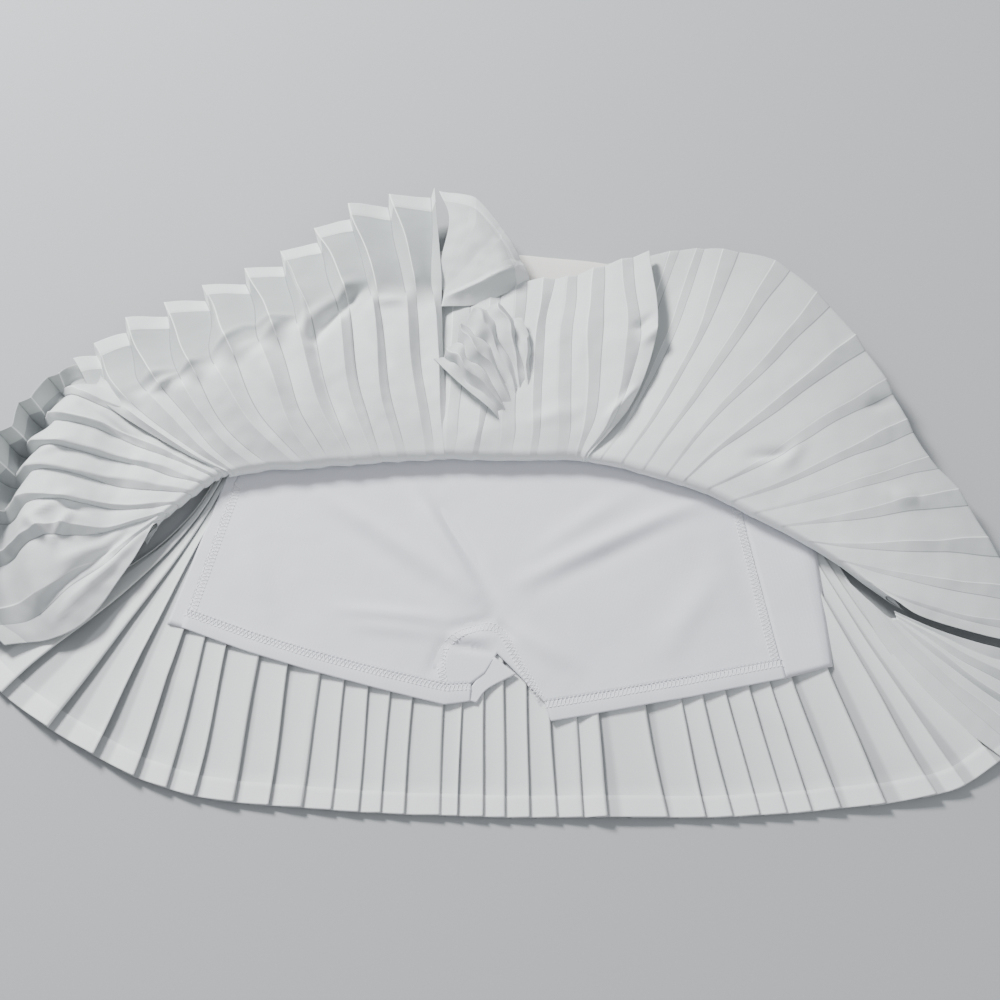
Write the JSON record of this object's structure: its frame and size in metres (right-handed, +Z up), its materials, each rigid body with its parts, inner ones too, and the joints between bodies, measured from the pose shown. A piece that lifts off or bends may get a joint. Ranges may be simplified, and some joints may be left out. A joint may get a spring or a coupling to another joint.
{
  "type": "tennis skirt with built-in shorts",
  "caption": "Pleated tennis skirt with built-in shorts, lying on its back with the pleated front thrown up over the waistband; inside of the pleats and the shorts show.",
  "frame": {"origin": "middle of the whole garment's box, on the surface that it lies on", "axes": "+X along the waist towards the right of the view, +Y from the hem of the back towards the waistband, +Z up from the surface"},
  "size_m": [0.7718, 0.481, 0.0489],
  "materials": {
    "pleated_woven": "fine plain-weave polyester, heat-set pleats, matt with a faint sheen, slightly see-through, cool white",
    "jersey": "smooth stretch jersey, matt, white with a faint lavender cast",
    "elastic_band": "jersey-covered elastic, matt, warm white"
  },
  "bodies": {
    "root": {"skirt_back": "pleated_woven", "skirt_front_fall": "pleated_woven", "skirt_front_left": "pleated_woven", "skirt_front_turn": "pleated_woven", "skirt_front_crush": "pleated_woven", "skirt_front_middle": "pleated_woven", "skirt_front_right": "pleated_woven", "skirt_side_left": "pleated_woven", "skirt_side_right": "pleated_woven", "waistband_back": "elastic_band", "waistband_front": "elastic_band", "shorts_back": "jersey", "shorts_front": "jersey", "shorts_side_left": "jersey", "shorts_side_right": "jersey", "shorts_gusset": "jersey", "leg_hem_left": "jersey", "leg_hem_right": "jersey"}
  },
  "joints": []
}
